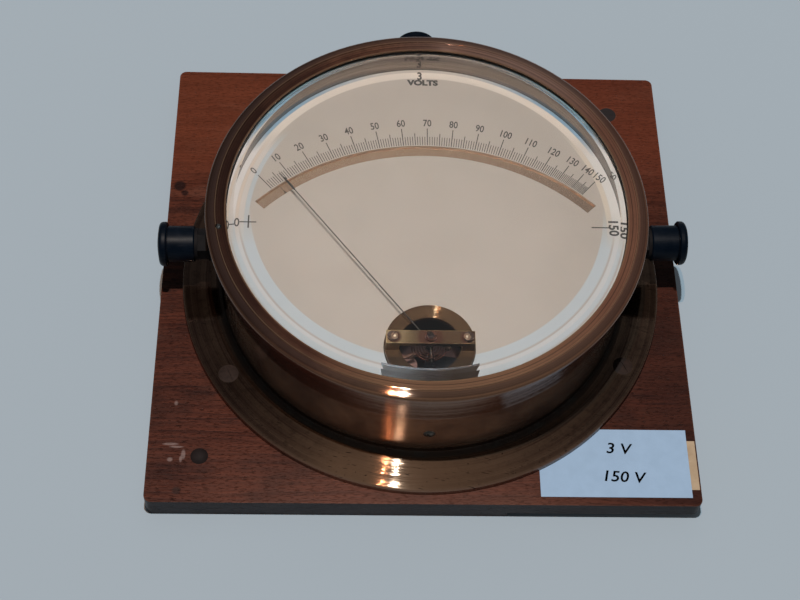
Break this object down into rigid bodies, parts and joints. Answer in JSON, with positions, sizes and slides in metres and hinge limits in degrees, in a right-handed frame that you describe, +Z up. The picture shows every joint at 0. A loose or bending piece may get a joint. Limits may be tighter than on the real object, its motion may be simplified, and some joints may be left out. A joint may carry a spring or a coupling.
{
  "type": "panel voltmeter",
  "caption": "Round brass-cased moving-iron voltmeter with an arc scale, mirror slot, glass window and side terminals, screwed to a wooden board.",
  "frame": {"origin": "middle of the underside of the board", "axes": "+Z up out of the dial, +Y from the needle's pivot to the scale, +X to the right of the dial"},
  "size_m": [0.22, 0.217, 0.0665],
  "materials": {
    "board_wood": "oiled mahogany, worn and stained",
    "plug_wood": "dark end grain plug",
    "tack_iron": "blackened iron, dull",
    "label_paper": "matt paper",
    "label_tape": "yellowed adhesive tape",
    "flange_brass": "aged brass, brown patina with worn highlights",
    "flange_screw_brass": "worn slotted heads, dirt in the slots",
    "drum_brass": "dark lacquered brass",
    "side_screw_steel": "oxidised",
    "base_iron": "black japanned iron",
    "bezel_brass": "polished brass gone brown",
    "lock_screw_steel": "worn steel",
    "window_glass": "clear polished",
    "gasket_card": "matt",
    "reflector_silver": "silvered brass, satin",
    "dial_paint": "cream enamel, matt, printed in black",
    "pillar_brass": "turned",
    "scale_mirror": "silvered glass, aged",
    "clip_brass": "rolled sheet",
    "housing_brass": "turned on a lathe, lacquered",
    "guard_steel": "bright nickel plate",
    "bridge_brass": "brushed along its length, lacquered",
    "movement_screw_brass": "turned heads",
    "pivot_steel": "hardened, blued",
    "movement_brass": "turned",
    "bobbin_fibre": "dark fibre",
    "coil_silk": "silk covered wire, shellacked",
    "iron_soft": "annealed soft iron",
    "chamber_black": "black lacquer, semi-gloss",
    "spool_fibre": "reddish fibre",
    "small_coil_silk": "pink silk covered wire",
    "hairspring_bronze": "phosphor bronze ribbon wire",
    "stud_brass": "turned",
    "spindle_steel": "polished",
    "boss_metal": "drawn aluminium",
    "pointer_black": "thin black lacquer",
    "weight_brass": "turned",
    "vane_aluminium": "thin sheet",
    "spool_wood": "turned boxwood, dark",
    "resistance_silk": "green silk covered resistance wire",
    "lead_cotton": "cotton covered copper wire",
    "terminal_brass": "dull brass",
    "ebonite": "polished black hard rubber"
  },
  "bodies": {
    "case": {"baseboard": "board_wood", "board_plug": "plug_wood", "board_tack": "tack_iron", "paper_label": "label_paper", "label_tape": "label_tape", "mounting_flange": "flange_brass", "flange_screws": "flange_screw_brass", "case_drum": "drum_brass", "base_plate": "base_iron", "side_screws": "side_screw_steel", "bezel_ring": "bezel_brass", "bezel_lock_screw": "lock_screw_steel", "window_glass": "window_glass", "glass_gasket": "gasket_card", "reflector_ring": "reflector_silver", "dial_plate": "dial_paint", "dial_pillars": "pillar_brass", "mirror_strip": "scale_mirror", "mirror_clips": "clip_brass", "movement_housing": "housing_brass", "movement_guard": "guard_steel", "pivot_bridge": "bridge_brass", "bridge_screws": "movement_screw_brass", "upper_pivot_screw": "pivot_steel", "pivot_lock_nut": "movement_screw_brass", "foot_plate": "movement_brass", "lower_pivot_screw": "pivot_steel", "tie_rods": "movement_brass", "tie_rod_nuts": "movement_brass", "coil_bobbin": "bobbin_fibre", "coil_winding": "coil_silk", "fixed_iron": "iron_soft", "damping_chamber": "chamber_black", "damping_cover": "chamber_black", "small_coil_spool": "spool_fibre", "small_coil_winding": "small_coil_silk", "hairspring": "hairspring_bronze", "hairspring_stud": "stud_brass", "resistance_spools": "spool_wood", "resistance_windings": "resistance_silk", "resistance_screws": "movement_brass", "lead_wires": "lead_cotton", "terminal_studs": "terminal_brass", "terminal_bushes": "ebonite", "terminal_nuts": "terminal_brass", "terminal_inner_washers": "ebonite", "terminal_inner_nuts": "terminal_brass"},
    "moving_system": {"spindle": "spindle_steel", "pointer_boss": "boss_metal", "pointer": "pointer_black", "counterweights": "weight_brass", "moving_iron": "iron_soft", "damping_vane": "vane_aluminium", "hairspring_collet": "weight_brass"},
    "left_clamp": {"left_clamp_washer": "terminal_brass"},
    "left_knob": {"left_knob": "ebonite"},
    "right_clamp": {"right_clamp_washer": "terminal_brass"},
    "right_knob": {"right_knob": "ebonite"},
    "back_clamp": {"back_clamp_washer": "terminal_brass"},
    "back_knob": {"back_knob": "ebonite"}
  },
  "joints": [
    {"name": "needle_swing", "type": "hinge", "parent": "case", "child": "moving_system", "pos_m": [0.0004, -0.062, 0.05], "axis": [0, 0, -1], "range_deg": [-4, 81], "stiffness_Nm_per_rad": 0.0002},
    {"name": "left_washer_slide", "type": "slide", "parent": "case", "child": "left_clamp", "axis": [-0.9998, -0.0192, 0], "range_m": [0, 0.004]},
    {"name": "left_knob_turn", "type": "hinge", "parent": "left_clamp", "child": "left_knob", "pos_m": [-0.09998, -0.00532, 0.0375], "axis": [-0.9998, -0.0192, 0], "range_deg": [0, 1440]},
    {"name": "right_washer_slide", "type": "slide", "parent": "case", "child": "right_clamp", "axis": [0.9998, 0.0192, 0], "range_m": [0, 0.004]},
    {"name": "right_knob_turn", "type": "hinge", "parent": "right_clamp", "child": "right_knob", "pos_m": [0.09998, -0.00148, 0.0375], "axis": [0.9998, 0.0192, 0], "range_deg": [0, 1440]},
    {"name": "back_washer_slide", "type": "slide", "parent": "case", "child": "back_clamp", "axis": [-0.0192, 0.9998, 0], "range_m": [0, 0.004]},
    {"name": "back_knob_turn", "type": "hinge", "parent": "back_clamp", "child": "back_knob", "pos_m": [-0.00192, 0.09658, 0.0375], "axis": [-0.0192, 0.9998, 0], "range_deg": [0, 1440]}
  ],
  "couplings": [
    {"joint": "left_knob_turn", "follows": "left_washer_slide", "rad_per_m": 6283.2},
    {"joint": "right_knob_turn", "follows": "right_washer_slide", "rad_per_m": 6283.2},
    {"joint": "back_knob_turn", "follows": "back_washer_slide", "rad_per_m": 6283.2}
  ]
}
